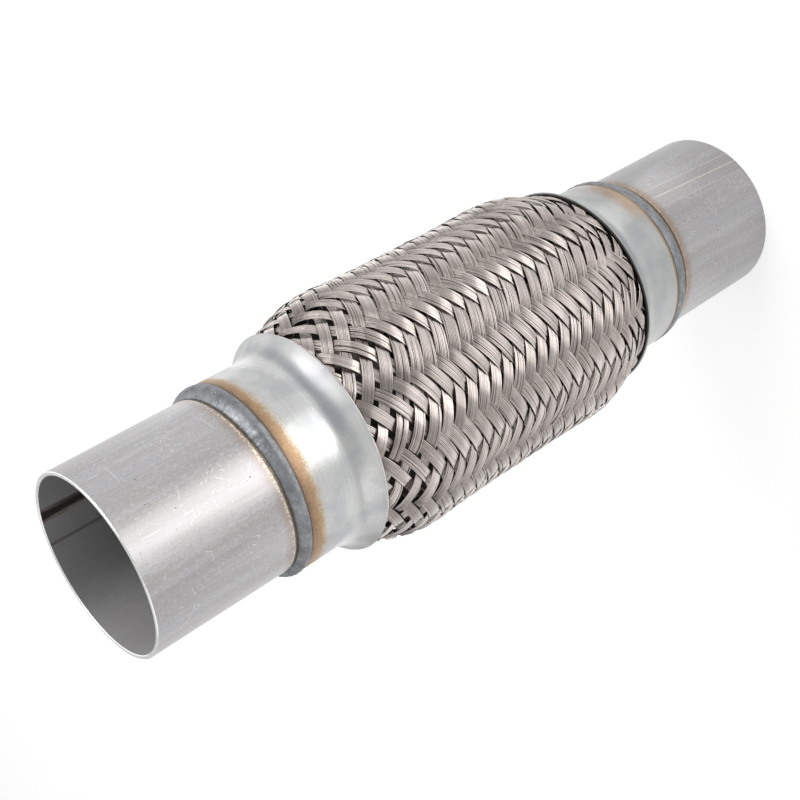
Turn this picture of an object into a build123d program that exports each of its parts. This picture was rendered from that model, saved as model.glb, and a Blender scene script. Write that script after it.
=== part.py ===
from build123d import *
from math import acos, atan, cos, degrees, radians, sin, tan
import os


os.makedirs("parts", exist_ok=True)

# A stainless exhaust flex section that stands on its lower rim. Two plain extension
# pipes are welded into pressed end caps. Between the caps a corrugated bellows seals
# the gas, an interlocked liner guides it and a woven wire braid covers the outside.
# The model is in millimetres, +Z runs up the pipe axis and the origin is the centre
# of the lower rim.

# Extension pipes
pipe_bore_radius = 25.7
pipe_wall = 1.2
pipe_rim_chamfer = 0.25
lower_pipe_exposed = 47.8
upper_pipe_exposed = 46.2
pipe_insertion = 7.0

# End caps: a straight neck and a trumpet flare that holds the braid down
cap_wall = 1.0
neck_length = 14.3
flare_radius = 10.75
flare_angle = 56.0
neck_to_cuff = 0.3

# Weld beads between the extension pipes and the cap necks
upper_weld_on_pipe = 4.3
upper_weld_on_neck = 1.0
lower_weld_on_pipe = 3.1
lower_weld_on_neck = 2.8
weld_cover = 0.3
weld_toe = 0.12
weld_bulge = 0.35
weld_gap = 0.03

# Bellows
bellows_wall = 0.4
bellows_each_side = 5
bellows_pitch = 6.9
bellows_to_braid = 0.4
bellows_crest = 3.0
bellows_lean = 0.6
cuff_to_pipe = 0.3
cuff_recess = 0.6

# Interlocked liner
liner_wall = 1.5
liner_pitch = 10.0
lap_groove_width = 2.0
lap_groove_depth = 0.6
liner_to_cuff = 0.3
liner_to_pipe_end = 0.4

# Woven braid
braid_exposed = 108.9
braid_mid_radius = 37.35
braid_shoulder_bulge = 0.45
braid_lip_radius = 32.5
braid_wall = 0.8
braid_to_cap = 0.6
braid_tuck_angle = 25.0
tows_each_way = 24
tow_pitch = 4.73
tow_rise = 0.55
tow_root = 0.5
tow_gap = 0.12
tow_bevel = 0.4
weave_start_angle = 3.0
weave_start_turn = 0.44
shoulder_start = 34.5
shoulder_end = 41.0
shoulder_drop = 0.6
skirt_start = 48.5
skirt_drop = 2.1
shoulder_stretch = 0.006
gap_length = 2.0
gap_width = 0.8
gap_zone = 11.5

# Radii worked out from the inside to the outside
pipe_radius = pipe_bore_radius + pipe_wall
cuff_bore_radius = pipe_radius + cuff_to_pipe
cuff_radius = cuff_bore_radius + bellows_wall
neck_bore_radius = cuff_radius + neck_to_cuff
neck_radius = neck_bore_radius + cap_wall
flare_centre_radius = neck_radius + flare_radius
liner_radius = cuff_bore_radius - liner_to_cuff
liner_bore_radius = liner_radius - liner_wall
braid_shoulder_radius = braid_mid_radius + braid_shoulder_bulge

# Heights worked out from the lower rim upwards
flare_reach = (flare_radius + cap_wall) * sin(radians(flare_angle))
cap_length = neck_length + flare_reach
lower_neck_end = lower_pipe_exposed
lower_lip = lower_neck_end + cap_length
upper_lip = lower_lip + braid_exposed
upper_neck_end = upper_lip + cap_length
top_rim = upper_neck_end + upper_pipe_exposed
flex_middle = (lower_lip + upper_lip) / 2
middle_plane = Plane.XY.offset(flex_middle)


def save(piece, name):
    """Label one finished piece and write it to its own file."""
    piece.label = name
    export_step(piece, f"parts/{name}.step")


# Extension pipes, which slide into the necks by the insertion depth
with BuildPart() as lower_extension_pipe:
    with BuildSketch(Plane.XY):
        Circle(pipe_radius)
        Circle(pipe_bore_radius, mode=Mode.SUBTRACT)
    extrude(amount=lower_neck_end + pipe_insertion)
    chamfer(lower_extension_pipe.edges().group_by(Axis.Z)[0], pipe_rim_chamfer)
    chamfer(lower_extension_pipe.edges().group_by(Axis.Z)[-1], pipe_rim_chamfer)
save(lower_extension_pipe.part, "lower_extension_pipe")

with BuildPart() as upper_extension_pipe:
    with BuildSketch(Plane.XY.offset(upper_neck_end - pipe_insertion)):
        Circle(pipe_radius)
        Circle(pipe_bore_radius, mode=Mode.SUBTRACT)
    extrude(amount=upper_pipe_exposed + pipe_insertion)
    chamfer(upper_extension_pipe.edges().group_by(Axis.Z)[0], pipe_rim_chamfer)
    chamfer(upper_extension_pipe.edges().group_by(Axis.Z)[-1], pipe_rim_chamfer)
save(upper_extension_pipe.part, "upper_extension_pipe")


# End caps: sheet metal of one thickness, so the flare's two sides share one centre
def flare_point(radius, angle):
    """A point of the upper cap's flare, at an angle down from where the neck ends."""
    across = flare_centre_radius - radius * cos(radians(angle))
    height = upper_neck_end - neck_length - radius * sin(radians(angle))
    return (across, height)


outer_flare = flare_radius
inner_flare = flare_radius + cap_wall
with BuildPart() as upper_end_cap:
    with BuildSketch(Plane.XZ):
        with BuildLine():
            Line((neck_radius, upper_neck_end), flare_point(outer_flare, 0))
            ThreePointArc(
                flare_point(outer_flare, 0),
                flare_point(outer_flare, flare_angle / 2),
                flare_point(outer_flare, flare_angle),
            )
            Line(flare_point(outer_flare, flare_angle), flare_point(inner_flare, flare_angle))
            ThreePointArc(
                flare_point(inner_flare, flare_angle),
                flare_point(inner_flare, flare_angle / 2),
                flare_point(inner_flare, 0),
            )
            Line(flare_point(inner_flare, 0), (neck_bore_radius, upper_neck_end))
            Line((neck_bore_radius, upper_neck_end), (neck_radius, upper_neck_end))
        make_face()
    revolve(axis=Axis.Z)
save(upper_end_cap.part, "upper_end_cap")

with BuildPart() as lower_end_cap:
    add(upper_end_cap.part)
    mirror(about=middle_plane, mode=Mode.REPLACE)
save(lower_end_cap.part, "lower_end_cap")


# Weld beads: a convex ring that laps from the pipe over the end of the neck
def weld_bead(neck_end, towards_rim, on_pipe, on_neck):
    """One bead, between its toe on the pipe and its toe on the neck."""
    pipe_toe = (pipe_radius + weld_gap, neck_end + towards_rim * on_pipe)
    corner = (pipe_radius + weld_gap, neck_end + towards_rim * weld_gap)
    step = (neck_radius + weld_gap, neck_end + towards_rim * weld_gap)
    neck_toe = (neck_radius + weld_gap, neck_end - towards_rim * on_neck)
    lip = (neck_radius + weld_toe, neck_toe[1])
    crown = (neck_radius + weld_cover, neck_end)
    shoulder_radius = (lip[0] + crown[0]) / 2 + weld_gap
    shoulder_height = (lip[1] + crown[1]) / 2
    belly_radius = (crown[0] + pipe_toe[0]) / 2 + weld_bulge
    belly_height = (crown[1] + pipe_toe[1]) / 2 + towards_rim * weld_bulge
    with BuildPart() as bead:
        with BuildSketch(Plane.XZ):
            with BuildLine():
                Polyline(pipe_toe, corner, step, neck_toe, lip)
                ThreePointArc(lip, (shoulder_radius, shoulder_height), crown)
                ThreePointArc(crown, (belly_radius, belly_height), pipe_toe)
            make_face()
        revolve(axis=Axis.Z)
    return bead.part


upper_bead = weld_bead(upper_neck_end, 1, upper_weld_on_pipe, upper_weld_on_neck)
lower_bead = weld_bead(lower_neck_end, -1, lower_weld_on_pipe, lower_weld_on_neck)
save(upper_bead, "upper_weld_bead")
save(lower_bead, "lower_weld_bead")


# Bellows: one sheet that runs from cuff to cuff over the convolutions
def bellows_side(root_radius, crest_radius, crest_width, cuff_reach):
    """Corners of one side of the sheet, from the lower cuff to the upper one."""
    corners = [(root_radius, flex_middle - cuff_reach)]
    for turn in range(-bellows_each_side, bellows_each_side + 1):
        height = flex_middle + turn * bellows_pitch
        root_reach = crest_width / 2 + bellows_lean
        corners.append((root_radius, height - root_reach))
        corners.append((crest_radius, height - crest_width / 2))
        corners.append((crest_radius, height + crest_width / 2))
        corners.append((root_radius, height + root_reach))
    corners.append((root_radius, flex_middle + cuff_reach))
    return corners


cuff_reach = upper_neck_end - cuff_recess - flex_middle
crest_radius = braid_mid_radius - tow_rise - braid_wall - bellows_to_braid
crest_bore_radius = crest_radius - bellows_wall
outer_side = bellows_side(cuff_radius, crest_radius, bellows_crest, cuff_reach)
inner_crest = bellows_crest - 2 * bellows_wall
inner_side = bellows_side(cuff_bore_radius, crest_bore_radius, inner_crest, cuff_reach)
with BuildPart() as bellows:
    with BuildSketch(Plane.XZ):
        with BuildLine():
            Polyline(*outer_side, *reversed(inner_side), outer_side[0])
        make_face()
    revolve(axis=Axis.Z)
save(bellows.part, "bellows")


# Liner: interlocked strip, with the lap between two turns as a groove in the bore
liner_reach = upper_neck_end - pipe_insertion - liner_to_pipe_end - flex_middle
laps_each_side = int((liner_reach - lap_groove_width) / liner_pitch)
with BuildPart() as interlock_liner:
    with BuildSketch(Plane.XY.offset(flex_middle - liner_reach)):
        Circle(liner_radius)
        Circle(liner_bore_radius, mode=Mode.SUBTRACT)
    extrude(amount=2 * liner_reach)
    with BuildSketch(Plane.XZ):
        with GridLocations(0, liner_pitch, 1, 2 * laps_each_side + 1):
            with Locations((liner_bore_radius, flex_middle)):
                Rectangle(2 * lap_groove_depth, lap_groove_width)
    revolve(axis=Axis.Z, mode=Mode.SUBTRACT)
save(interlock_liner.part, "interlock_liner")


# Braid section: the tow tops follow a barrel with a shoulder beside each lip
half_exposed = braid_exposed / 2
braid_barrel = [
    (0.0, braid_mid_radius),
    (shoulder_start, braid_shoulder_radius),
    (shoulder_end, braid_shoulder_radius - shoulder_drop),
    (skirt_start, braid_lip_radius + skirt_drop),
    (half_exposed, braid_lip_radius),
]


def barrel(distance):
    """Radius of the tow tops and its slope, at a distance from the middle."""
    away = min(abs(distance), half_exposed)
    for (near, near_radius), (far, far_radius) in zip(braid_barrel, braid_barrel[1:]):
        if away <= far:
            break
    slope = (far_radius - near_radius) / (far - near)
    return near_radius + slope * (away - near), slope


def tow_distance(turns):
    """Distance from the middle after some tow pitches, which spread at the shoulders."""
    plain = turns * tow_pitch
    past = max(0.0, abs(plain) - shoulder_start)
    spread = shoulder_stretch * past**2
    return plain + (spread if plain > 0 else -spread)


def rows(phase):
    """Distance and pitch of each visible tow run that fits between the lips."""
    count = int(half_exposed / tow_pitch) + 1
    for row in range(-count, count):
        distance = tow_distance(row + phase)
        pitch = tow_distance(row + phase + 0.5) - tow_distance(row + phase - 0.5)
        if abs(distance) + pitch < half_exposed:
            yield distance, pitch


# Braid staves: the wall is a barrel of flat staves, each as wide as one tow run
tuck_outer = flare_radius + cap_wall + braid_to_cap
tuck_inner = tuck_outer + braid_wall
lip_wall_radius = braid_lip_radius - tow_rise
lip_angle = degrees(acos((flare_centre_radius - lip_wall_radius) / tuck_outer))
tuck_middle = (braid_tuck_angle + lip_angle) / 2
outer_barrel = [(radius - tow_rise, flex_middle + rise) for rise, radius in braid_barrel[:-1]]
inner_barrel = [(radius - braid_wall, height) for radius, height in reversed(outer_barrel)]
stave_angle = 360 / tows_each_way
stave_slope = tan(radians(stave_angle / 2))
with BuildPart() as plain_stave:
    with BuildSketch(Plane.XZ):
        with BuildLine():
            Polyline(
                *outer_barrel,
                flare_point(tuck_outer, lip_angle),
                flare_point(tuck_outer, tuck_middle),
                flare_point(tuck_outer, braid_tuck_angle),
                flare_point(tuck_inner, braid_tuck_angle),
                flare_point(tuck_inner, tuck_middle),
                flare_point(tuck_inner, lip_angle),
                *inner_barrel,
                close=True,
            )
        make_face()
    extrude(amount=braid_shoulder_radius * stave_slope, both=True)
    split(bisect_by=Plane.XZ.rotated((0, 0, stave_angle / 2)), keep=Keep.TOP)
    split(bisect_by=Plane.XZ.rotated((0, 0, -stave_angle / 2)), keep=Keep.BOTTOM)
    mirror(about=middle_plane)


# Braid tows: a tow shows where it runs over the others, across one stave
def wall_plane(distance):
    """Plane on the stave that faces outwards, with its x axis across the stave."""
    radius, slope = barrel(distance)
    lean = atan(slope) if distance > 0 else -atan(slope)
    origin = (radius - tow_rise, 0, flex_middle + distance)
    return Plane(origin, x_dir=(0, 1, 0), z_dir=(cos(lean), 0, -sin(lean)))


def woven_stave(slant, phase):
    """A stave with its raised tow runs, and the openings between them by the lips."""
    half_root = (tow_pitch - tow_gap) / 2
    half_top = half_root - tow_bevel
    with BuildPart() as stave:
        add(plain_stave.part)
        for distance, pitch in rows(phase):
            wall = wall_plane(distance)
            narrow_radius = barrel(abs(distance) + pitch)[0] - tow_rise - tow_root
            half_width = narrow_radius * stave_slope - tow_gap
            side = Plane(
                wall.from_local_coords((-half_width, -slant * pitch / 2, 0)),
                x_dir=wall.y_dir,
                z_dir=wall.x_dir,
            )
            with BuildSketch(side):
                with BuildLine():
                    Polyline(
                        (-half_root, -tow_root),
                        (half_root, -tow_root),
                        (half_top, tow_rise),
                        (-half_top, tow_rise),
                        close=True,
                    )
                make_face()
            run = wall.x_dir * (2 * half_width) + wall.y_dir * (slant * pitch)
            extrude(amount=run.length, dir=run)
            if abs(distance) > half_exposed - gap_zone:
                tilt = slant * degrees(atan(pitch / (2 * half_width)))
                with BuildSketch(wall):
                    with Locations((-slant * half_width / 2, pitch / 4)):
                        Rectangle(gap_length, gap_width, rotation=tilt)
                extrude(amount=tow_rise + braid_wall, both=True, mode=Mode.SUBTRACT)
    return stave.part


falling_stave = woven_stave(-1, weave_start_turn + 0.5)
rising_stave = woven_stave(1, weave_start_turn)
falling_angle = weave_start_angle + stave_angle / 2
rising_angle = falling_angle + stave_angle
with BuildPart() as outer_braid:
    with PolarLocations(0, tows_each_way // 2, start_angle=falling_angle):
        add(falling_stave)
    with PolarLocations(0, tows_each_way // 2, start_angle=rising_angle):
        add(rising_stave)
save(outer_braid.part, "outer_braid")
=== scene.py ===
import math

import bpy
import numpy as np
from mathutils import Euler, Matrix, Vector


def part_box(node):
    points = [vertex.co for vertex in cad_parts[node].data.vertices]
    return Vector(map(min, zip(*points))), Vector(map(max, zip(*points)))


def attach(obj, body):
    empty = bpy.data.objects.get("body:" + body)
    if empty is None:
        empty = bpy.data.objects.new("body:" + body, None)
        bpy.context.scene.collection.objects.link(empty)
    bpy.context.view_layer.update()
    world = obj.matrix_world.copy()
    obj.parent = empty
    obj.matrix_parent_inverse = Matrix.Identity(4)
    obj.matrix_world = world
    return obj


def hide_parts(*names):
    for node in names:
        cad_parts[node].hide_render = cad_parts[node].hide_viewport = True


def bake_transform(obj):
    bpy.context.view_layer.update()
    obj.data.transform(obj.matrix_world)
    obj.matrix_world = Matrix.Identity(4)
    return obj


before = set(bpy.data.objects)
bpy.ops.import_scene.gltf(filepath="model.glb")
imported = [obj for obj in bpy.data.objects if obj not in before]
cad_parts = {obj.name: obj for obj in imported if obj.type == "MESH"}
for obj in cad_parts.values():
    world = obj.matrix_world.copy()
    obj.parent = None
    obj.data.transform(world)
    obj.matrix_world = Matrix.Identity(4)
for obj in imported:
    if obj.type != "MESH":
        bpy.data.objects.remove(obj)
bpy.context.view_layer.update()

mm = 0.001

# Places read from the frame, in metres
upper_pipe_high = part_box("upper_extension_pipe")[1]
lower_pipe_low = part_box("lower_extension_pipe")[0]
upper_cap_low, upper_cap_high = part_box("upper_end_cap")
lower_cap_low, lower_cap_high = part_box("lower_end_cap")
bellows_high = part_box("bellows")[1]
liner_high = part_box("interlock_liner")[1]
upper_bead_low, upper_bead_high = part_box("upper_weld_bead")
lower_bead_low, lower_bead_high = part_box("lower_weld_bead")
top_rim = upper_pipe_high[2]
bottom_rim = lower_pipe_low[2]
pipe_radius = upper_pipe_high[0]
bead_radius = upper_bead_high[0]
upper_lip = upper_cap_low[2]
lower_lip = lower_cap_high[2]
flex_middle = (upper_lip + lower_lip) / 2
half_exposed = (upper_lip - lower_lip) / 2

# Sizes that the frame's boxes don't give
pipe_wall = 1.2 * mm
bead_over_neck = 0.3 * mm
cuff_gap = 0.3 * mm
bellows_wall = 0.4 * mm
liner_wall = 1.5 * mm
pipe_bore_radius = pipe_radius - pipe_wall
neck_radius = bead_radius - bead_over_neck
cuff_bore_radius = pipe_radius + cuff_gap
cuff_radius = cuff_bore_radius + bellows_wall
liner_bore_radius = liner_high[0] - liner_wall

# The upper bead's toe runs lower on the -X side, by twice this
toe_slant = 1.2 * mm

# Weave of the braid: each tow crosses half a tow angle and climbs half a tow pitch per crossing
tows_each_way = 24
tow_angle = 2 * math.pi / tows_each_way
tow_pitch = 4.73 * mm
weave_start_angle = math.radians(3.0)
weave_start_turn = 0.44
stretch_start = 34.5 * mm
stretch = 0.006 / mm
wires_per_tow = 9
wire_radius = 0.26 * mm
wire_flatness = 0.4
wire_spacing = 0.40 * mm
wire_sides = 6
tow_lift = 0.60 * mm
clear_of_outline = 0.06 * mm
steps_per_turn = 6
braid_hidden = 2.6 * mm
weave_seed = 7

# Shapes of the arrays that hold one number for each tow or for each wire
each_tow = (tows_each_way, 1, 1)
each_wire = (tows_each_way, wires_per_tow, 1)

# The wires of a tow draw together by this share, over this length from this far off the middle
narrowing = 0.16
narrowing_start = 30 * mm
narrowing_length = 18 * mm

# Flaws of the weave, with lengths and reaches along a tow in tow pitches
sway_size = 0.05 * mm
wobble_size = 0.02 * mm
splits_per_tow = 3
split_size = 0.5 * mm
split_length = 1.3
split_reach = 11
bank_size = 0.06
lift_scatter = 0.01 * mm
dips_per_wire = 3
dip_depth = 0.25 * mm
dip_reach = 12
wire_tone_spread = 0.10
tow_tone_spread = 0.07

# A split lies up to this many wires from the middle one of its tow
split_wires = 3

# Shortest and longest dip, and least and most share of the full depth: below 0 there is no dip
dip_lengths = (1.2, 3.0)
dip_shares = (-1.6, 1.0)

# Phases of random waves are drawn between 0 and this, in radians
drawn_phase = 6.28

# Steps of a quarter turn in the bellows' folds, and of a full turn in the hidden tubes
arc_steps = 6
turned_steps = 96

# Weld beads: steps round and across, and how far a bead's foot is sunk in the pipe and the neck
bead_around = 720
bead_across = 16
bead_sunk = 0.05 * mm

# Strip lights lie this far above the floor, and the soft boxes look at the middle of the part
glow_height = 1.0 * mm
light_aim = Vector((0, 0, 0.126))

# Camera of the photograph, in pipe radii from the top rim and as unit axes
camera_back = 12.319
camera_above = 3.969
camera_right = Vector((-0.5037, -0.4661, -0.7273))
camera_up = Vector((0.8638, -0.2648, -0.4286))
camera_lens = 60.31


def link(obj):
    bpy.context.scene.collection.objects.link(obj)
    return obj


def make_camera():
    """The photograph's camera, rolled, with the upper pipe near and the lower one far."""
    data = bpy.data.cameras.new("camera")
    data.lens = camera_lens
    data.sensor_width = 36.0
    data.clip_start = 0.01
    data.clip_end = 20.0
    camera = link(bpy.data.objects.new("camera", data))
    backward = camera_right.cross(camera_up).normalized()
    right = camera_up.cross(backward).normalized()
    up = backward.cross(right)
    place = Vector((0, -camera_back * pipe_radius, top_rim + camera_above * pipe_radius))
    turn = Matrix((right, up, backward)).transposed()
    camera.matrix_world = Matrix.Translation(place) @ turn.to_4x4()
    bpy.context.scene.camera = camera


# Materials
class Look:
    """A material's node tree, with short calls for the nodes that are used here.

    The place, the distance across towards +X and the height are in mm, in the part's frame.
    """

    def __init__(self, name):
        self.material = bpy.data.materials.new(name)
        self.material.use_nodes = True
        self.tree = self.material.node_tree
        self.surface = self.tree.nodes["Principled BSDF"]
        scale = self.node("ShaderNodeVectorMath", operation="SCALE")
        self.join(self.node("ShaderNodeTexCoord").outputs["Object"], scale.inputs[0])
        scale.inputs["Scale"].default_value = 1 / mm
        self.place = scale.outputs[0]
        parts = self.split(self.place)
        self.across = parts["X"]
        self.behind = parts["Y"]
        self.height = parts["Z"]

    def node(self, kind, **settings):
        made = self.tree.nodes.new(kind)
        for key, value in settings.items():
            setattr(made, key, value)
        return made

    def join(self, source, target):
        self.tree.links.new(source, target)

    def feed(self, target, value):
        if isinstance(value, bpy.types.NodeSocket):
            self.join(value, target)
        else:
            target.default_value = value

    def split(self, vector):
        """The X, Y and Z parts of a vector, by name."""
        made = self.node("ShaderNodeSeparateXYZ")
        self.join(vector, made.inputs[0])
        return made.outputs

    def math(self, operation, first, second=0.0):
        made = self.node("ShaderNodeMath", operation=operation)
        self.feed(made.inputs[0], first)
        self.feed(made.inputs[1], second)
        return made.outputs[0]

    def chain(self, operation, values):
        result = values[0]
        for value in values[1:]:
            result = self.math(operation, result, value)
        return result

    def plus(self, *values):
        return self.chain("ADD", values)

    def times(self, *values):
        return self.chain("MULTIPLY", values)

    def most(self, *values):
        return self.chain("MAXIMUM", values)

    def minus(self, first, second):
        return self.math("SUBTRACT", first, second)

    def apart(self, value, place):
        """How far a value is from a place, either way."""
        return self.math("ABSOLUTE", self.minus(value, place))

    def attribute(self, name):
        return self.node("ShaderNodeAttribute", attribute_name=name).outputs["Fac"]

    def stretched(self, across, along):
        """The place, scaled by one frequency across the axis and another along it."""
        made = self.node("ShaderNodeVectorMath", operation="MULTIPLY")
        self.join(self.place, made.inputs[0])
        made.inputs[1].default_value = (across, across, along)
        return made.outputs[0]

    def noise(self, across, along, detail=3.0, roughness=0.5):
        """Noise with its own frequency across the axis and along it, for each mm."""
        made = self.node("ShaderNodeTexNoise")
        self.join(self.stretched(across, along), made.inputs["Vector"])
        made.inputs["Scale"].default_value = 1.0
        made.inputs["Detail"].default_value = detail
        made.inputs["Roughness"].default_value = roughness
        return made.outputs["Fac"]

    def angle(self):
        """Turn round the axis in radians, from the viewer's side towards +X."""
        return self.math("ARCTAN2", self.across, self.times(self.behind, -1.0))

    def degrees(self):
        """The same turn in degrees."""
        return self.times(self.angle(), 180 / math.pi)

    def radius(self):
        """Distance from the pipe's axis in mm."""
        made = self.node("ShaderNodeVectorMath", operation="LENGTH")
        self.join(self.stretched(1.0, 0.0), made.inputs[0])
        return made.outputs["Value"]

    def remap(self, value, low, high, to_low=0.0, to_high=1.0):
        """Eases from to_low to to_high while the value goes from low to high."""
        made = self.node("ShaderNodeMapRange", interpolation_type="SMOOTHSTEP")
        self.feed(made.inputs["Value"], value)
        made.inputs["From Min"].default_value = low
        made.inputs["From Max"].default_value = high
        made.inputs["To Min"].default_value = to_low
        made.inputs["To Max"].default_value = to_high
        return made.outputs["Result"]

    def band(self, value, start, full, fade, end):
        """1 between full and fade, easing to 0 at start and end."""
        return self.times(self.remap(value, start, full), self.remap(value, fade, end, 1.0, 0.0))

    def ramp(self, factor, *stops):
        made = self.node("ShaderNodeValToRGB")
        self.feed(made.inputs[0], factor)
        elements = made.color_ramp.elements
        while len(elements) < len(stops):
            elements.new(0.5)
        for element, (position, colour) in zip(elements, stops):
            element.position = position
            element.color = (*colour, 1)
        return made.outputs["Color"]

    def mix(self, factor, first, second, blend="MIX"):
        made = self.node("ShaderNodeMix", data_type="RGBA", blend_type=blend)
        self.feed(made.inputs["Factor"], factor)
        for socket, value in ((made.inputs[6], first), (made.inputs[7], second)):
            self.feed(socket, value if isinstance(value, bpy.types.NodeSocket) else (*value, 1))
        return made.outputs[2]

    def coat(self, under, value, bare, full, share, colour):
        """A colour over another: none of it where the value is bare, share of it where full."""
        return self.mix(self.remap(value, bare, full, 0.0, share), under, colour)

    def scratches(self, cell, length, width, share, cluster=0.0):
        """Straight hairlines on the unrolled wall, at most one in each cell, from 0 to 1.

        The cell is in mm, and so are length and width, the distances from a hairline's middle
        at which it has faded out. Share is how many cells have one, and cluster is the
        frequency of the patches that hold them, or 0 if they lie everywhere.
        """
        wall = self.node("ShaderNodeCombineXYZ")
        self.join(self.times(self.angle(), pipe_radius / mm / cell), wall.inputs[0])
        self.join(self.math("DIVIDE", self.height, cell), wall.inputs[1])
        cells = self.node("ShaderNodeTexVoronoi", voronoi_dimensions="2D")
        cells.inputs["Scale"].default_value = 1.0
        self.join(wall.outputs[0], cells.inputs["Vector"])
        offset = self.node("ShaderNodeVectorMath", operation="SUBTRACT")
        self.join(wall.outputs[0], offset.inputs[0])
        self.join(cells.outputs["Position"], offset.inputs[1])
        part = self.split(offset.outputs[0])
        draw = self.split(cells.outputs["Color"])
        lean = self.times(draw["X"], 2 * math.pi)
        cosine = self.math("COSINE", lean)
        sine = self.math("SINE", lean)
        beside = self.plus(self.times(part["X"], cosine), self.times(part["Y"], sine))
        onward = self.minus(self.times(part["Y"], cosine), self.times(part["X"], sine))
        line = self.remap(self.math("ABSOLUTE", beside), 0.0, width / cell, 1.0, 0.0)
        ends = self.remap(self.math("ABSOLUTE", onward), 0.5 * length / cell, length / cell, 1.0, 0.0)
        kept = self.math("LESS_THAN", draw["Y"], share)
        if cluster:
            crowd = self.noise(cluster, cluster, detail=1.0)
            kept = self.times(kept, self.remap(crowd, 0.60, 0.63))
        return self.times(line, ends, kept)

    def bump(self, height, strength, distance):
        made = self.node("ShaderNodeBump")
        made.inputs["Strength"].default_value = strength
        made.inputs["Distance"].default_value = distance * mm
        self.join(height, made.inputs["Height"])
        self.join(made.outputs[0], self.surface.inputs["Normal"])

    def finish(self, colour, roughness, metallic=1.0):
        self.feed(self.surface.inputs["Base Color"], colour)
        self.feed(self.surface.inputs["Roughness"], roughness)
        self.feed(self.surface.inputs["Metallic"], metallic)
        return self.material


def drawn_steel(look, streaks, clouds, grain, hairlines):
    """The bare tube: long streaks and bands, fine grain, dark pits and pale hairlines."""
    bands = look.noise(0.30, 0.008)
    pits = look.noise(1.1, 0.9, detail=1.0)
    steel = look.ramp(streaks, (0.3, (0.405, 0.398, 0.41)), (0.7, (0.485, 0.476, 0.488)))
    steel = look.coat(steel, bands, 0.42, 0.68, 0.75, (0.395, 0.375, 0.37))
    steel = look.coat(steel, bands, 0.36, 0.30, 0.50, (0.56, 0.545, 0.54))
    steel = look.coat(steel, clouds, 0.45, 0.65, 0.60, (0.35, 0.338, 0.336))
    steel = look.coat(steel, clouds, 0.45, 0.30, 0.60, (0.53, 0.52, 0.525))
    steel = look.coat(steel, grain, 0.52, 0.68, 0.55, (0.57, 0.56, 0.565))
    steel = look.coat(steel, grain, 0.46, 0.32, 0.40, (0.33, 0.32, 0.325))
    steel = look.coat(steel, pits, 0.765, 0.79, 1.0, (0.13, 0.12, 0.115))
    return look.mix(look.times(hairlines, 0.8), steel, (0.86, 0.85, 0.85))


def pipe_heat_marks(look, steel, from_toe, is_upper, clouds):
    """Brown haze, golden spatter and a scorched edge beside the bead, from its toe outwards."""
    flecks = look.noise(1.5, 1.5)
    haze = look.remap(from_toe, 0.3, 5.0, 1.0, 0.0)
    haze_here = look.minus(1.0, look.times(is_upper, 0.40))
    haze_patches = look.remap(clouds, 0.3, 0.6, 0.65, 1.0)
    steel = look.mix(look.times(haze, haze_here, haze_patches), steel, (0.27, 0.185, 0.13))
    spatter = look.remap(from_toe, 0.8, 2.0, 1.0, 0.0)
    spatter_here = look.plus(0.3, look.times(is_upper, 0.7))
    spatter_spots = look.remap(flecks, 0.46, 0.55)
    steel = look.mix(look.times(spatter, spatter_spots, spatter_here), steel, (0.72, 0.63, 0.50))
    scorch = look.minus(from_toe, look.times(flecks, 1.4))
    return look.coat(steel, scorch, 0.15, -0.10, 0.9, (0.075, 0.055, 0.04))


def drawn_lines(look, steel, lower_toe, grain):
    """Pale lines along the lower pipe at these turns in degrees, which twist a little upwards."""
    twist = 0.117
    straight = look.minus(look.degrees(), look.times(look.height, twist))
    begins = look.remap(lower_toe, 1.0, 6.0)
    broken = look.remap(grain, 0.3, 0.6, 0.35, 0.9)
    for turn, share in ((21.2, 0.75), (29.5, 0.4), (12.8, 0.3)):
        line = look.remap(look.apart(straight, turn), 0.15, 0.75, share, 0.0)
        steel = look.mix(look.times(line, begins, broken), steel, (0.66, 0.60, 0.52))
    return steel


def bore_steel(look):
    """The duller bore, with a fainter line and the tube's seam: brown at its edges, its near-black
    core painted shadow. Painted shade towards +X, painted light towards -X.
    """
    seam_turn = 134.3
    line_turn = 155.0
    turn = look.degrees()
    grain = look.noise(1.2, 0.10, detail=4.0, roughness=0.6)
    steel = look.ramp(grain, (0.3, (0.42, 0.41, 0.415)), (0.7, (0.47, 0.46, 0.465)))
    off_seam = look.plus(look.apart(turn, seam_turn), look.remap(grain, 0.3, 0.7, -1.2, 1.2))
    off_line = look.apart(turn, line_turn)
    # The seam is brown at its edges, and its near-black core is painted shadow
    steel = look.coat(steel, off_seam, 6.0, 3.2, 0.75, (0.20, 0.13, 0.09))
    steel = look.coat(steel, off_seam, 4.2, 1.8, 1.0, (0.035, 0.032, 0.03))
    steel = look.coat(steel, off_line, 1.6, 0.4, 0.6, (0.13, 0.11, 0.10))
    # Painted shade and light: the bore is darkened towards +X and lightened towards -X
    towards_right = look.remap(look.across, -20.0, 2.0)
    painted_shade_and_light = look.ramp(towards_right, (0.0, (1.15, 1.15, 1.15)), (1.0, (0.60, 0.60, 0.60)))
    return look.mix(1.0, steel, painted_shade_and_light, blend="MULTIPLY")


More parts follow.
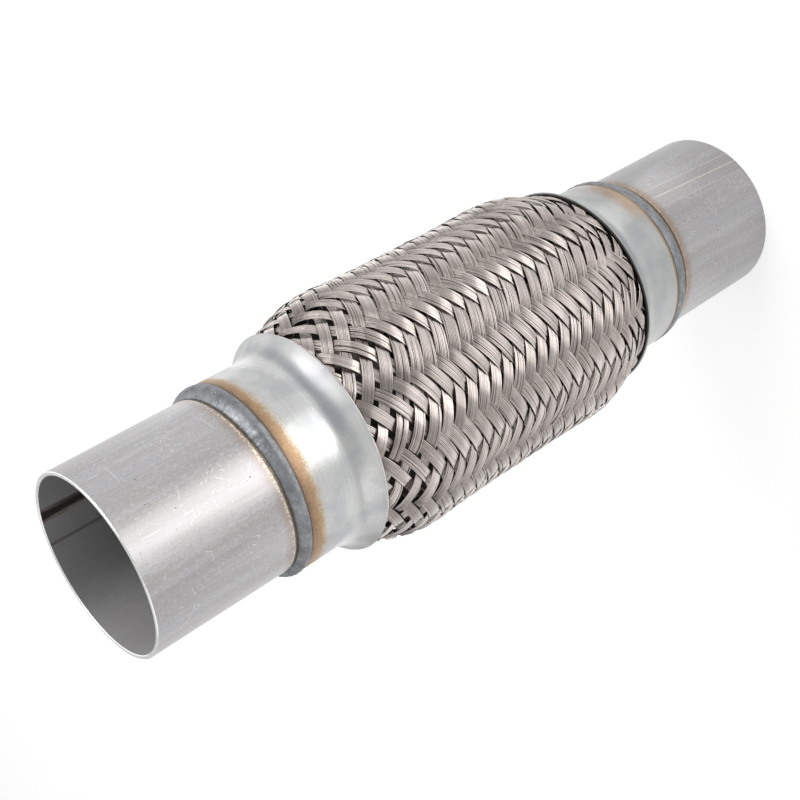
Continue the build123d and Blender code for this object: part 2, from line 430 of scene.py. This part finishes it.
def pipe_material():
    """Satin steel tube, with marks of the weld beside each bead."""
    look = Look("pipe steel")
    streaks = look.noise(1.5, 0.02, detail=5.0, roughness=0.7)
    clouds = look.noise(0.10, 0.012)
    grain = look.noise(1.5, 1.2, detail=4.0, roughness=0.65)
    hairlines = look.most(look.scratches(cell=7.0, length=1.6, width=0.12, share=0.28),
                          look.scratches(cell=15.0, length=3.4, width=0.10, share=0.30),
                          look.scratches(cell=1.7, length=0.75, width=0.14, share=0.55, cluster=0.13))
    is_upper = look.math("GREATER_THAN", look.height, flex_middle / mm)
    slope = look.times(look.across, toe_slant / pipe_radius)
    past_upper_toe = look.minus(look.height, look.plus(slope, (upper_bead_high[2] - toe_slant) / mm))
    past_lower_toe = look.minus(lower_bead_low[2] / mm, look.height)
    from_toe = look.math("MINIMUM", look.math("ABSOLUTE", past_upper_toe),
                         look.math("ABSOLUTE", past_lower_toe))
    # Both pipes are darkened a little. The lower one's extra darkening is painted shade.
    darker = look.minus(0.30, look.times(is_upper, 0.18))

    steel = drawn_steel(look, streaks, clouds, grain, hairlines)
    steel = look.mix(darker, steel, (0.20, 0.195, 0.20))
    steel = pipe_heat_marks(look, steel, from_toe, is_upper, clouds)
    steel = drawn_lines(look, steel, past_lower_toe, grain)

    rim_depth = 0.24
    bore_margin = 0.10
    is_inside = look.math("LESS_THAN", look.radius(), pipe_bore_radius / mm + bore_margin)
    is_rim = look.most(look.math("GREATER_THAN", look.height, top_rim / mm - rim_depth),
                       look.math("LESS_THAN", look.height, bottom_rim / mm + rim_depth))
    # Painted light: the cut rims are much paler than the wall
    rim = look.ramp(grain, (0.3, (0.66, 0.66, 0.665)), (0.7, (0.84, 0.84, 0.845)))
    colour = look.mix(is_rim, look.mix(is_inside, steel, bore_steel(look)), rim)
    rough = look.plus(look.remap(streaks, 0.25, 0.75, 0.25, 0.34), look.times(is_inside, 0.16),
                      look.times(hairlines, 0.2), look.remap(grain, 0.35, 0.7, -0.03, 0.05))
    metallic = look.minus(1.0, look.times(is_inside, 0.45))
    look.bump(look.noise(3.0, 0.05), strength=0.12, distance=0.02)
    return look.finish(colour, rough, metallic)


def pressed_steel(look, marks, clouds):
    """The bare pressing: turning marks, cloudy patches, fine grain and pale hairlines."""
    grain = look.noise(2.0, 5.0, detail=2.0)
    hairlines = look.most(look.scratches(cell=6.0, length=1.6, width=0.09, share=0.22),
                          look.scratches(cell=1.7, length=0.9, width=0.12, share=0.6, cluster=0.16))
    steel = look.ramp(marks, (0.3, (0.48, 0.483, 0.478)), (0.7, (0.59, 0.593, 0.586)))
    steel = look.coat(steel, clouds, 0.42, 0.66, 0.8, (0.41, 0.42, 0.435))
    steel = look.coat(steel, grain, 0.6, 0.8, 0.4, (0.66, 0.665, 0.66))
    return look.mix(look.times(hairlines, 0.4), steel, (0.85, 0.84, 0.83))


def cap_heat_tint(look, steel, from_bead, is_upper, is_lower):
    """The steel with a straw to brown tint beside the bead, and how much of it each point has.

    The tint is broad on the upper neck, most of all towards -X, and narrow on the lower one.
    """
    upper_width = 4.9
    upper_slant = 0.9
    lower_width = 1.3
    width_here = look.minus(upper_width, look.times(look.across, upper_slant * mm / neck_radius))
    width = look.plus(look.times(is_upper, width_here), look.times(is_lower, lower_width))
    wave = look.times(look.minus(look.noise(0.22, 0.3), 0.5), 0.45)
    mottle = look.noise(1.6, 1.6, detail=4.0, roughness=0.7)
    uneven = look.remap(mottle, 0.3, 0.7, -0.16, 0.16)
    share = look.plus(look.math("DIVIDE", from_bead, width), wave, uneven)
    tint = look.ramp(share, (0.0, (0.19, 0.12, 0.075)), (0.25, (0.32, 0.20, 0.11)),
                     (0.6, (0.42, 0.275, 0.15)), (0.95, (0.53, 0.43, 0.30)))
    tinted = look.remap(share, 0.60, 1.15, 1.0, 0.0)
    steel = look.mix(tinted, steel, tint)
    scorch = look.minus(from_bead, look.times(mottle, 0.8))
    return look.coat(steel, scorch, 0.10, -0.15, 0.9, (0.10, 0.065, 0.04)), tinted


def lower_cap_shade_and_tint(look, steel, from_bead, clouds, turn, is_lower):
    """The lower cap is greyer and darker all over as painted shade, with one brown patch by its bead
    between the viewer and +X.
    """
    # Painted shade: the whole lower cap is darkened
    steel = look.mix(look.times(is_lower, 0.30), steel, (0.20, 0.21, 0.215))
    by_bead = look.remap(from_bead, 2.5, 8.0, 1.0, 0.0)
    cloudy = look.remap(clouds, 0.35, 0.6, 0.35, 1.0)
    sector = look.band(turn, 8.0, 30.0, 55.0, 80.0)
    patch = look.times(by_bead, cloudy, sector, is_lower, 0.85)
    return look.mix(patch, steel, (0.36, 0.24, 0.145))


def flare_tones_and_painted_shade(look, steel, from_lip, clouds, turn):
    """Tones by the distance from the lip: a greyer neck, then on the side from the viewer towards +X a
    painted dark reflection in a band and painted shade near the lip.
    """
    steel = look.coat(steel, from_lip, 7.0, 12.0, 0.16, (0.22, 0.222, 0.226))
    # Painted reflection: a dark band across the flare, on the side towards +X
    belt = look.band(from_lip, 2.5, 4.5, 6.0, 8.5)
    belt_sector = look.band(turn, -15.0, 5.0, 50.0, 75.0)
    cloudy = look.remap(clouds, 0.35, 0.6, 0.3, 0.8)
    steel = look.mix(look.times(belt, cloudy, belt_sector), steel, (0.34, 0.355, 0.385))
    # Painted shade: the flare near the lip is darkened on the same side
    lip_painted_shade = look.remap(from_lip, 1.5, 5.5, 0.75, 0.0)
    lip_painted_shade_sector = look.band(turn, -5.0, 20.0, 55.0, 75.0)
    return look.mix(look.times(lip_painted_shade, lip_painted_shade_sector), steel, (0.38, 0.38, 0.385))


def cap_material():
    """Pressed stainless with a heat tint by the weld, a painted highlight on the upper lip and painted
    shadow on the lower lip.
    """
    look = Look("cap steel")
    marks = look.noise(0.05, 7.0, roughness=0.6)
    clouds = look.noise(0.10, 0.12)
    turn = look.degrees()
    is_upper = look.math("GREATER_THAN", look.height, flex_middle / mm)
    is_lower = look.minus(1.0, is_upper)
    below = look.minus(upper_bead_low[2] / mm, look.height)
    above = look.minus(look.height, lower_bead_high[2] / mm)
    from_bead = look.plus(look.times(is_upper, below), look.times(is_lower, above))
    from_upper_lip = look.apart(look.height, upper_lip / mm)
    from_lower_lip = look.apart(look.height, lower_lip / mm)
    from_lip = look.math("MINIMUM", from_upper_lip, from_lower_lip)

    steel = pressed_steel(look, marks, clouds)
    steel, tinted = cap_heat_tint(look, steel, from_bead, is_upper, is_lower)
    steel = lower_cap_shade_and_tint(look, steel, from_bead, clouds, turn, is_lower)
    steel = flare_tones_and_painted_shade(look, steel, from_lip, clouds, turn)
    # Painted shadow: the lower lip is near black
    steel = look.coat(steel, from_lower_lip, 0.55, 0.35, 1.0, (0.06, 0.055, 0.05))
    # Painted highlight: a thin near-white line along the upper lip
    steel = look.coat(steel, from_upper_lip, 0.8, 0.5, 1.0, (0.98, 0.98, 0.97))
    cloudy = look.remap(clouds, 0.3, 0.7, 0.22, 0.32)
    rougher_flare = look.remap(from_lip, 1.0, 7.0, 0.26, 0.0)
    look.bump(marks, strength=0.22, distance=0.02)
    return look.finish(steel, look.plus(cloudy, rougher_flare, look.times(tinted, 0.16)))


def bead_material():
    """Weld metal: grey-blue, with darker and paler patches and small specks."""
    look = Look("weld steel")
    patches = look.noise(0.30, 0.5, detail=5.0, roughness=0.6)
    specks = look.noise(2.4, 2.4, detail=2.0)
    metal = look.ramp(patches, (0.28, (0.165, 0.170, 0.179)), (0.5, (0.228, 0.237, 0.251)),
                      (0.72, (0.30, 0.309, 0.324)))
    metal = look.coat(metal, specks, 0.68, 0.74, 0.9, (0.62, 0.56, 0.46))
    metal = look.coat(metal, specks, 0.33, 0.26, 0.8, (0.05, 0.045, 0.04))
    look.bump(look.noise(1.6, 1.6, detail=5.0), strength=0.5, distance=0.08)
    return look.finish(metal, look.remap(patches, 0.3, 0.7, 0.58, 0.44))


def wire_material():
    """Drawn stainless wire, a little warm: each wire lighter or darker at random, each run with
    painted shade at its upper end and a painted highlight at its lower end.
    """
    look = Look("braid wire")
    swing = look.times(look.minus(look.attribute("wire_phase"), 0.5), math.pi / 2)
    # Painted shade and highlight: each run is darker at its upper end and lighter at its lower end
    tone_and_painted_shade = look.minus(look.attribute("wire_tone"), look.times(look.math("SINE", swing), 0.24))
    grime = look.noise(0.25, 0.25)
    steel = look.ramp(tone_and_painted_shade, (0.0, (0.235, 0.207, 0.193)), (0.5, (0.445, 0.396, 0.374)),
                      (1.0, (0.77, 0.70, 0.66)))
    steel = look.coat(steel, grime, 0.5, 0.8, 0.35, (0.29, 0.25, 0.23))
    look.bump(look.math("COSINE", swing), strength=1.0, distance=0.5)
    return look.finish(steel, look.remap(grime, 0.3, 0.7, 0.13, 0.22))


def inner_material(name, dark, light):
    """Dull, dark steel of the hidden pieces, darker and lighter in patches."""
    look = Look(name)
    blotches = look.noise(0.3, 0.3, detail=4.0)
    steel = look.ramp(blotches, (0.3, dark), (0.7, light))
    look.bump(look.noise(1.2, 1.2), strength=0.2, distance=0.03)
    return look.finish(steel, look.remap(blotches, 0.3, 0.7, 0.5, 0.35))


# Mesh helpers
def new_piece(name, points, faces, material, sharp_faces=()):
    """A mesh object with smooth faces, apart from those listed as sharp."""
    mesh = bpy.data.meshes.new(name)
    mesh.from_pydata(points.tolist(), [], faces)
    mesh.update()
    smooth = np.ones(len(mesh.polygons), bool)
    smooth[list(sharp_faces)] = False
    mesh.polygons.foreach_set("use_smooth", smooth)
    mesh.materials.append(material)
    return link(bpy.data.objects.new(name, mesh))


def ring_faces(around, count):
    """Quads of a closed ring with a closed section of count points."""
    faces = []
    for turn in range(around):
        ahead = (turn + 1) % around
        for point in range(count):
            after = (point + 1) % count
            faces.append((turn * count + point, ahead * count + point,
                          ahead * count + after, turn * count + after))
    return faces


def turned_halves(name, section, material, smooth=True):
    """Upper and lower rings from a closed section of (radius, height above the middle) points."""
    angles = np.linspace(0, 2 * math.pi, turned_steps, endpoint=False)[:, None]
    faces = ring_faces(turned_steps, len(section))
    sharp_faces = () if smooth else range(len(faces))
    pieces = []
    for upper in (True, False):
        way = 1 if upper else -1
        radius, height = np.array(section[::way]).T
        heights = np.broadcast_to(flex_middle + way * height, (turned_steps, len(section)))
        points = np.stack([radius * np.cos(angles), radius * np.sin(angles), heights], axis=-1)
        half_name = f"{name}_{'upper' if upper else 'lower'}"
        piece = new_piece(half_name, points.reshape(-1, 3), faces, material, sharp_faces)
        bend(piece, upper)
        pieces.append(piece)
    return pieces


def bend(piece, upper):
    """Bakes the piece's place into its mesh, the same way for either half."""
    if upper:
        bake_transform(piece)
    else:
        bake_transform(piece)


# Braid, which starts with the distances from the middle and radii of its tow tops, in mm
barrel_points = np.array([
    (-6.0, 37.55), (6.0, 37.55), (18.0, 37.6), (27.0, 37.85), (34.0, 38.05), (38.0, 37.85),
    (42.0, 37.1), (46.0, 35.75), (50.0, 34.2), (54.0, 32.95), (56.0, 31.1), (58.0, 29.5), (60.0, 28.2),
])


def barrel(distance):
    """Radius of the tow tops, at a distance up or down from the middle, both in metres."""
    away = np.abs(distance) / mm
    knots, values = barrel_points.T
    slopes = np.gradient(values, knots)
    index = np.clip(np.searchsorted(knots, away, side="right") - 1, 0, len(knots) - 2)
    width = knots[index + 1] - knots[index]
    share = np.clip((away - knots[index]) / width, 0, 1)
    start, end = values[index], values[index + 1]
    rise, fall = slopes[index] * width, slopes[index + 1] * width
    curve = ((2 * share**3 - 3 * share**2 + 1) * start + (share**3 - 2 * share**2 + share) * rise
             + (-2 * share**3 + 3 * share**2) * end + (share**3 - share**2) * fall)
    return curve * mm


def tow_distance(turns):
    """Distance from the middle after some tow pitches, which spread at the shoulders."""
    plain = turns * tow_pitch
    past = np.maximum(0.0, np.abs(plain) - stretch_start)
    return plain + np.sign(plain) * stretch * past**2


def growth(function, place, step):
    """How fast a function grows at a place."""
    return (function(place + step) - function(place - step)) / (2 * step)


def over_under(crossed):
    """From 1 over the crossing tows to -1 under them, with four tows to a period.

    It is a cosine mixed with some of a steeper wave, which stays flat on top and below.
    """
    flat_share = 0.35
    flat_steepness = 2.6
    wave = np.cos(2 * math.pi * (crossed - 0.5) / 4)
    flat = np.sin(math.pi / 2 * np.clip(flat_steepness * wave, -1, 1))
    return flat_share * flat + (1 - flat_share) * wave


def waver(draw, turns, slow, fast, shape):
    """A sine along each tow or wire, with its rate and phase drawn at random."""
    rate = draw.uniform(slow, fast, shape)
    return np.sin(turns * rate + draw.uniform(0, drawn_phase, shape))


def wire_offsets(draw, turns, distance):
    """How far each wire lies to one side of its tow's line, in tows that sway and split."""
    splits = (tows_each_way, splits_per_tow, 1)
    middle_wire = (wires_per_tow - 1) / 2
    wire = (np.arange(wires_per_tow) - middle_wire)[None, :, None]
    sway = sway_size * waver(draw, turns, slow=0.8, fast=1.6, shape=each_tow)
    split_at = draw.uniform(-split_reach, split_reach, splits)
    split_wire = draw.integers(-split_wires, split_wires + 1, splits)
    split_width = draw.uniform(0.0, 1.0, splits) * split_size
    along_narrowing = np.clip((np.abs(distance) - narrowing_start) / narrowing_length, 0, 1)
    offset = wire * wire_spacing * (1 - narrowing * along_narrowing) + sway
    for number in range(splits_per_tow):
        split = slice(number, number + 1)
        near = np.exp(-((turns - split_at[:, split]) / split_length) ** 2)
        side = np.sign(wire - split_wire[:, split] + 0.5)
        offset = offset + near * side * split_width[:, split] / 2
    return offset + wobble_size * waver(draw, turns, slow=1.5, fast=3.5, shape=each_wire)


def lift_flaws(draw, turns, offset):
    """How far each wire lies above its place, in tows that bank and with wires that dip."""
    lift = lift_scatter * draw.uniform(-1, 1, each_wire)
    lift = lift + bank_size * waver(draw, turns, slow=0.9, fast=2.1, shape=each_tow) * offset
    for _ in range(dips_per_wire):
        place = draw.uniform(-dip_reach, dip_reach, each_wire)
        length = draw.uniform(*dip_lengths, each_wire)
        depth = np.maximum(0, draw.uniform(*dip_shares, each_wire)) * dip_depth
        lift = lift - depth * np.exp(-((turns - place) / length) ** 2)
    return lift


def tow_family(rising, end_turn):
    """Centre lines of every wire of one family, from the middle to one end, and its phase.

    The phase grows up the part, and is 0.5 on top of the crossing tows and 2.5 below them.
    The first point of each line lies beyond the middle and only sets the direction there.
    """
    draw = np.random.default_rng(weave_seed + (10 if rising else 20))
    way = 1 if rising else -1
    rising_start = weave_start_angle + (1.5 - weave_start_turn) * tow_angle
    falling_start = weave_start_angle + (1.0 + weave_start_turn) * tow_angle
    own_start, other_start = (rising_start, falling_start) if rising else (falling_start, rising_start)
    tow = np.arange(tows_each_way)[:, None, None]
    count = int(abs(end_turn) * steps_per_turn) + 1
    turns = np.linspace(-end_turn / (count - 1), end_turn, count + 1)[None, None, :]
    angle = own_start + tow_angle * (way * turns + tow)
    distance = tow_distance(turns)
    radius = barrel(distance)
    run_up = growth(tow_distance, turns, step=0.001)
    steepness = np.sqrt(1 + growth(barrel, distance, step=1e-5) ** 2)
    run_along = run_up * steepness
    run_across = way * tow_angle * radius
    length = np.sqrt(run_along**2 + run_across**2)

    offset = wire_offsets(draw, turns, distance)
    wire_angle = angle - offset * run_along / length / radius
    shift_up = offset * run_across / length / steepness
    wire_distance = distance + shift_up
    crossed = (wire_angle - other_start) / tow_angle + way * (turns + shift_up / run_up)
    phase = crossed + tow if rising else 3 - crossed - tow
    lift = over_under(phase) * tow_lift + lift_flaws(draw, turns, offset)
    top = barrel(wire_distance) - clear_of_outline - tow_lift
    middle = top - wire_radius * wire_flatness + lift
    points = np.stack([middle * np.cos(wire_angle), middle * np.sin(wire_angle),
                       flex_middle + wire_distance], axis=-1)
    return points.reshape(-1, count + 1, 3), phase.reshape(-1, count + 1)


def unit(vectors):
    return vectors / np.linalg.norm(vectors, axis=-1, keepdims=True)


def set_point_values(piece, name, values):
    attribute = piece.data.attributes.new(name, "FLOAT", "POINT")
    attribute.data.foreach_set("value", values.astype(np.float32))


def wire_mesh(name, lines, phases, material, tones):
    """Flattened wires along the given lines from their second point on, one closed tube each."""
    tangent = unit(np.gradient(lines, axis=1)[:, 1:])
    lines, phases = lines[:, 1:], phases[:, 1:]
    wires, count, _ = lines.shape
    side = unit(np.cross(tangent, unit(lines * np.array((1, 1, 0)))))
    outward = np.cross(side, tangent)[:, :, None, :]
    side = side[:, :, None, :]
    around = np.linspace(0, 2 * math.pi, wire_sides, endpoint=False)[:, None] + math.pi / 2
    section = np.cos(around) * side + wire_flatness * np.sin(around) * outward
    facing = unit(np.cos(around) * side + np.sin(around) / wire_flatness * outward)
    points = lines[:, :, None, :] + wire_radius * section

    start = np.arange(wires)[:, None, None] * count * wire_sides
    row = np.arange(count - 1)[None, :, None] * wire_sides
    spot = np.arange(wire_sides)[None, None, :]
    after = (spot + 1) % wire_sides
    quads = np.stack([start + row + spot, start + row + wire_sides + spot,
                      start + row + wire_sides + after, start + row + after], axis=-1)
    faces = quads.reshape(-1, 4).tolist()
    walls = len(faces)
    for wire in range(wires):
        first = wire * count * wire_sides
        last = first + (count - 1) * wire_sides
        faces.append([first + spot for spot in range(wire_sides)])
        faces.append([last + spot for spot in reversed(range(wire_sides))])
    piece = new_piece(name, points.reshape(-1, 3), faces, material, range(walls, len(faces)))
    piece.data.normals_split_custom_set_from_vertices(facing.reshape(-1, 3).tolist())
    set_point_values(piece, "wire_tone", np.repeat(tones, count * wire_sides))
    set_point_values(piece, "wire_phase", np.repeat(phases.ravel(), wire_sides))
    return piece


def make_braid(material):
    """The woven sleeve, in four pieces: two halves of two families of tows."""
    enough_turns = 20
    turns = np.linspace(0, enough_turns, 100 * enough_turns + 1)
    end_turn = float(np.interp(half_exposed + braid_hidden, tow_distance(turns), turns))
    draw = np.random.default_rng(weave_seed)
    for rising in (True, False):
        tones = draw.normal(0.5, wire_tone_spread, tows_each_way * wires_per_tow)
        tow_tones = draw.normal(0, tow_tone_spread, tows_each_way)
        tones = (tones + np.repeat(tow_tones, wires_per_tow)).clip(0, 1)
        for upper in (True, False):
            lines, phases = tow_family(rising, end_turn if upper else -end_turn)
            name = f"braid_{'upper' if upper else 'lower'}_{'rising' if rising else 'falling'}"
            piece = wire_mesh(name, lines, phases, material, tones)
            bend(piece, upper)
            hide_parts("outer_braid")


# Hidden tubes of the flex section
def make_bellows(material):
    """The corrugated tube, in two halves that meet at the middle of its crest."""
    pitch = 6.9 * mm
    folds = 5
    bulge = pitch / 4 + bellows_wall / 2
    waist = pitch / 4 - bellows_wall / 2
    reach = bellows_high[2] - flex_middle

    def half_round(tip, way, bend_radius, height, first=-arc_steps):
        """Half a turn about a height, bulging out to its tip if way is 1, or in if it is -1."""
        points = []
        for step in range(first, arc_steps + 1):
            lean = step / arc_steps * math.pi / 2
            points.append((tip - way * bend_radius * (1 - math.cos(lean)),
                           height + bend_radius * math.sin(lean)))
        return points

    def face(root, crest, crest_bend, root_bend):
        """One face of the wall, from the middle of the part up to the end of the cuff."""
        points = [(crest, 0.0)] + half_round(crest, 1, crest_bend, 0.0, first=1)
        for fold in range(folds):
            points += half_round(root, -1, root_bend, (fold + 0.5) * pitch)
            points += half_round(crest, 1, crest_bend, (fold + 1) * pitch)
        points.append((root, points[-1][1] + root_bend))
        points.append((root, reach))
        return points

    outer = face(cuff_radius, bellows_high[0], bulge, waist)
    inner = face(cuff_bore_radius, bellows_high[0] - bellows_wall, waist, bulge)
    for piece in turned_halves("bellows", outer + inner[::-1], material):
        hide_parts("bellows")


def make_liner(material):
    """The interlocked strip tube, with a lap groove in its bore at each turn."""
    pitch = 10.0 * mm
    half_groove = 1.0 * mm
    groove_depth = 0.6 * mm
    bore = liner_bore_radius
    groove_radius = bore + groove_depth
    reach = liner_high[2] - flex_middle
    inner = [(groove_radius, 0.0)]
    for turn in range(int((reach - 2 * half_groove) / pitch) + 1):
        middle = turn * pitch
        if turn > 0:
            inner += [(bore, middle - half_groove), (groove_radius, middle - half_groove)]
        inner += [(groove_radius, middle + half_groove), (bore, middle + half_groove)]
    inner.append((bore, reach))
    section = [(liner_high[0], 0.0), (liner_high[0], reach)] + inner[::-1]
    for piece in turned_halves("liner", section, material, smooth=False):
        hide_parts("interlock_liner")


# Weld beads
def wander(draw, angle, size, waves):
    """A random line round the axis, summed from waves with these numbers of crests to a turn."""
    total = np.zeros_like(angle)
    for wave in waves:
        height = draw.uniform(0.5, 1.0)
        total = total + height * np.sin(wave * angle + draw.uniform(0, drawn_phase)) / wave**0.4
    return size * total / len(waves) ** 0.5


def bead_rise(share):
    """Height of a bead's skin from its toe on the pipe, at 0, to its toe on the neck, at 1."""
    crown = 0.7
    toe_rise = 0.04
    neck_drop = 0.14
    rise = toe_rise + (1 - toe_rise) * np.sin(math.pi / 2 * np.clip(share / crown, 0, 1)) ** 0.85
    return rise - neck_drop * np.clip((share - crown) / (1 - crown), 0, 1) ** 2


def make_bead(name, node, body, low, high, towards_rim, slant, rough, seed, material):
    """A weld bead between its ragged toe on the pipe and its toe on the neck.

    It has ripples all round and one lump, whose angle and place across the bead are given.
    """
    ragged_size = 0.60 * mm
    uneven_size = 0.25 * mm
    ripples = 62
    ripple_bow = 2.4
    ripple_shift = 2.0
    ripple_depth = 0.03 * mm + 0.25 * rough
    lump_angle, lump_reach = math.radians(282), 0.05
    lump_share, lump_length = 0.75, 0.22
    least_on_pipe = 0.02 * mm
    least_on_neck = 0.06 * mm
    neck_margin = 0.15 * mm

    draw = np.random.default_rng(seed)
    angle = np.linspace(0, 2 * math.pi, bead_around, endpoint=False)[:, None]
    share = np.linspace(0, 1, bead_across)[None, :]
    ragged = np.abs(wander(draw, angle, ragged_size, (31, 47, 83, 113, 171)))
    ragged = ragged + np.abs(wander(draw, angle, rough, (3, 5, 9)))
    uneven = np.abs(wander(draw, angle, uneven_size, (2, 5, 11, 23)))
    bulk = bead_radius - pipe_radius - np.abs(wander(draw, angle, rough, (4, 7, 11)))
    ripple = (ripples * angle + ripple_bow * (2 * share - 1) ** 2
              + wander(draw, angle, ripple_shift, (5, 9, 17)))

    rim_side, neck_side = (high, low) if towards_rim > 0 else (low, high)
    pipe_toe = rim_side - towards_rim * (slant * (1 - np.cos(angle)) + ragged)
    neck_toe = neck_side + towards_rim * uneven
    height = pipe_toe + (neck_toe - pipe_toe) * share
    radius = pipe_radius + bulk * bead_rise(share)
    radius = radius - ripple_depth * (1 + np.cos(ripple)) * np.sin(math.pi * share)
    lump_round = np.exp(-((angle - lump_angle) / lump_reach) ** 2)
    lump_across = np.exp(-((share - lump_share) / lump_length) ** 2)
    radius = radius + lump_round * lump_across * rough
    radius = np.clip(radius, pipe_radius + least_on_pipe, bead_radius)
    neck_end = (upper_cap_high if towards_rim > 0 else lower_cap_low)[2]
    over_neck = (height - neck_end) * towards_rim < neck_margin
    radius = np.where(over_neck, np.maximum(radius, neck_radius + least_on_neck), radius)

    foot = np.full((bead_around, 1), neck_radius - bead_sunk)
    root = np.full((bead_around, 1), pipe_radius - bead_sunk)
    ledge = np.full((bead_around, 1), neck_end)
    section_radius = np.concatenate([root, radius, foot, foot, root], axis=1)
    section_height = np.concatenate([pipe_toe, height, neck_toe, ledge, ledge], axis=1)
    points = np.stack([section_radius * np.cos(angle), section_radius * np.sin(angle),
                       section_height], axis=-1)
    faces = ring_faces(*section_radius.shape)
    if towards_rim > 0:
        faces = [face[::-1] for face in faces]
    piece = new_piece(name, points.reshape(-1, 3), faces, material)
    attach(piece, body)
    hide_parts(node)


# Studio
def make_floor():
    """A plain pale floor under the part, which glows a little."""
    reach = 6.0
    grey = 0.42
    glow_strength = 0.60
    points = np.array([(-reach, -reach, 0), (reach, -reach, 0), (reach, reach, 0), (-reach, reach, 0)])
    material = bpy.data.materials.new("floor")
    material.use_nodes = True
    surface = material.node_tree.nodes["Principled BSDF"]
    surface.inputs["Base Color"].default_value = (grey, grey, grey, 1)
    surface.inputs["Roughness"].default_value = 0.9
    surface.inputs["Emission Color"].default_value = (1, 1, 1, 1)
    surface.inputs["Emission Strength"].default_value = glow_strength
    floor = new_piece("floor", points, [(0, 1, 2, 3)], material)


def area_light(name, place, turn, width, height, watts, colour=(1, 1, 1)):
    """One soft rectangular light, which the camera doesn't see."""
    data = bpy.data.lights.new(name, "AREA")
    data.shape = "RECTANGLE"
    data.size = width
    data.size_y = height
    data.energy = watts
    data.color = colour
    light = link(bpy.data.objects.new(name, data))
    light.location = place
    light.rotation_euler = turn
    light.visible_camera = False


def soft_box(name, place, width, height, watts):
    """A large light above the part that looks at its middle."""
    turn = (light_aim - Vector(place)).to_track_quat("-Z", "Y").to_euler()
    area_light(name, place, turn, width, height, watts)


def glow(name, azimuth, near, far, width, watts, colour=(1, 1, 1)):
    """A strip light that lies on the floor and shines up, at an azimuth from the viewer's side."""
    way = Vector((-math.sin(math.radians(azimuth)), -math.cos(math.radians(azimuth)), 0))
    place = way * (near + far) / 2 + Vector((0, 0, glow_height))
    turn = Euler((math.pi, 0, math.atan2(way.y, way.x) + math.pi / 2))
    area_light(name, place, turn, width, far - near, watts, colour)


def make_studio():
    """Even light from all round, soft boxes above and glowing strips by the floor."""
    warm = (1, 0.985, 0.965)
    world = bpy.data.worlds.new("studio")
    bpy.context.scene.world = world
    world.use_nodes = True
    background = world.node_tree.nodes["Background"]
    background.inputs["Color"].default_value = (1, 1, 1, 1)
    background.inputs["Strength"].default_value = 0.72
    bpy.context.scene.view_settings.view_transform = "Standard"
    soft_box("softbox", (0.806, -0.326, 1.09), width=0.8, height=0.9, watts=9.0)
    soft_box("left_fill", (-1.0, -0.05, 0.85), width=1.3, height=1.3, watts=3.2)
    soft_box("back_fill", (0.70, 0.85, 0.85), width=1.3, height=1.3, watts=3.0)
    glow("front_glow", 0, near=0.15, far=0.38, width=0.28, watts=0.33, colour=warm)
    glow("far_front_glow", 0, near=0.38, far=1.20, width=0.42, watts=1.7, colour=warm)
    glow("left_glow", -140, near=0.10, far=0.50, width=0.25, watts=0.08)
    glow("right_glow", 84, near=0.10, far=0.50, width=0.22, watts=0.055)
    glow("near_glow", -50, near=0.045, far=0.11, width=0.05, watts=0.0036)
    glow("near_right_glow", 96, near=0.045, far=0.13, width=0.09, watts=0.0042)


def dress(node, material):
    """Gives a CAD node its finished material."""
    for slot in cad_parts[node].material_slots:
        slot.material = material


make_camera()
make_floor()
make_studio()

pipe_steel = pipe_material()
cap_steel = cap_material()
weld_steel = bead_material()
dress("upper_extension_pipe", pipe_steel)
dress("lower_extension_pipe", pipe_steel)
dress("upper_end_cap", cap_steel)
dress("lower_end_cap", cap_steel)
make_braid(wire_material())
make_bellows(inner_material("bellows steel", (0.05, 0.045, 0.04), (0.14, 0.13, 0.12)))
make_liner(inner_material("liner steel", (0.08, 0.075, 0.07), (0.2, 0.19, 0.18)))
make_bead("upper_bead", "upper_weld_bead", "upper_end", upper_bead_low[2], upper_bead_high[2],
          towards_rim=1, slant=toe_slant, rough=0.05 * mm, seed=3, material=weld_steel)
make_bead("lower_bead", "lower_weld_bead", "lower_end", lower_bead_low[2], lower_bead_high[2],
          towards_rim=-1, slant=0.0, rough=0.35 * mm, seed=4, material=weld_steel)
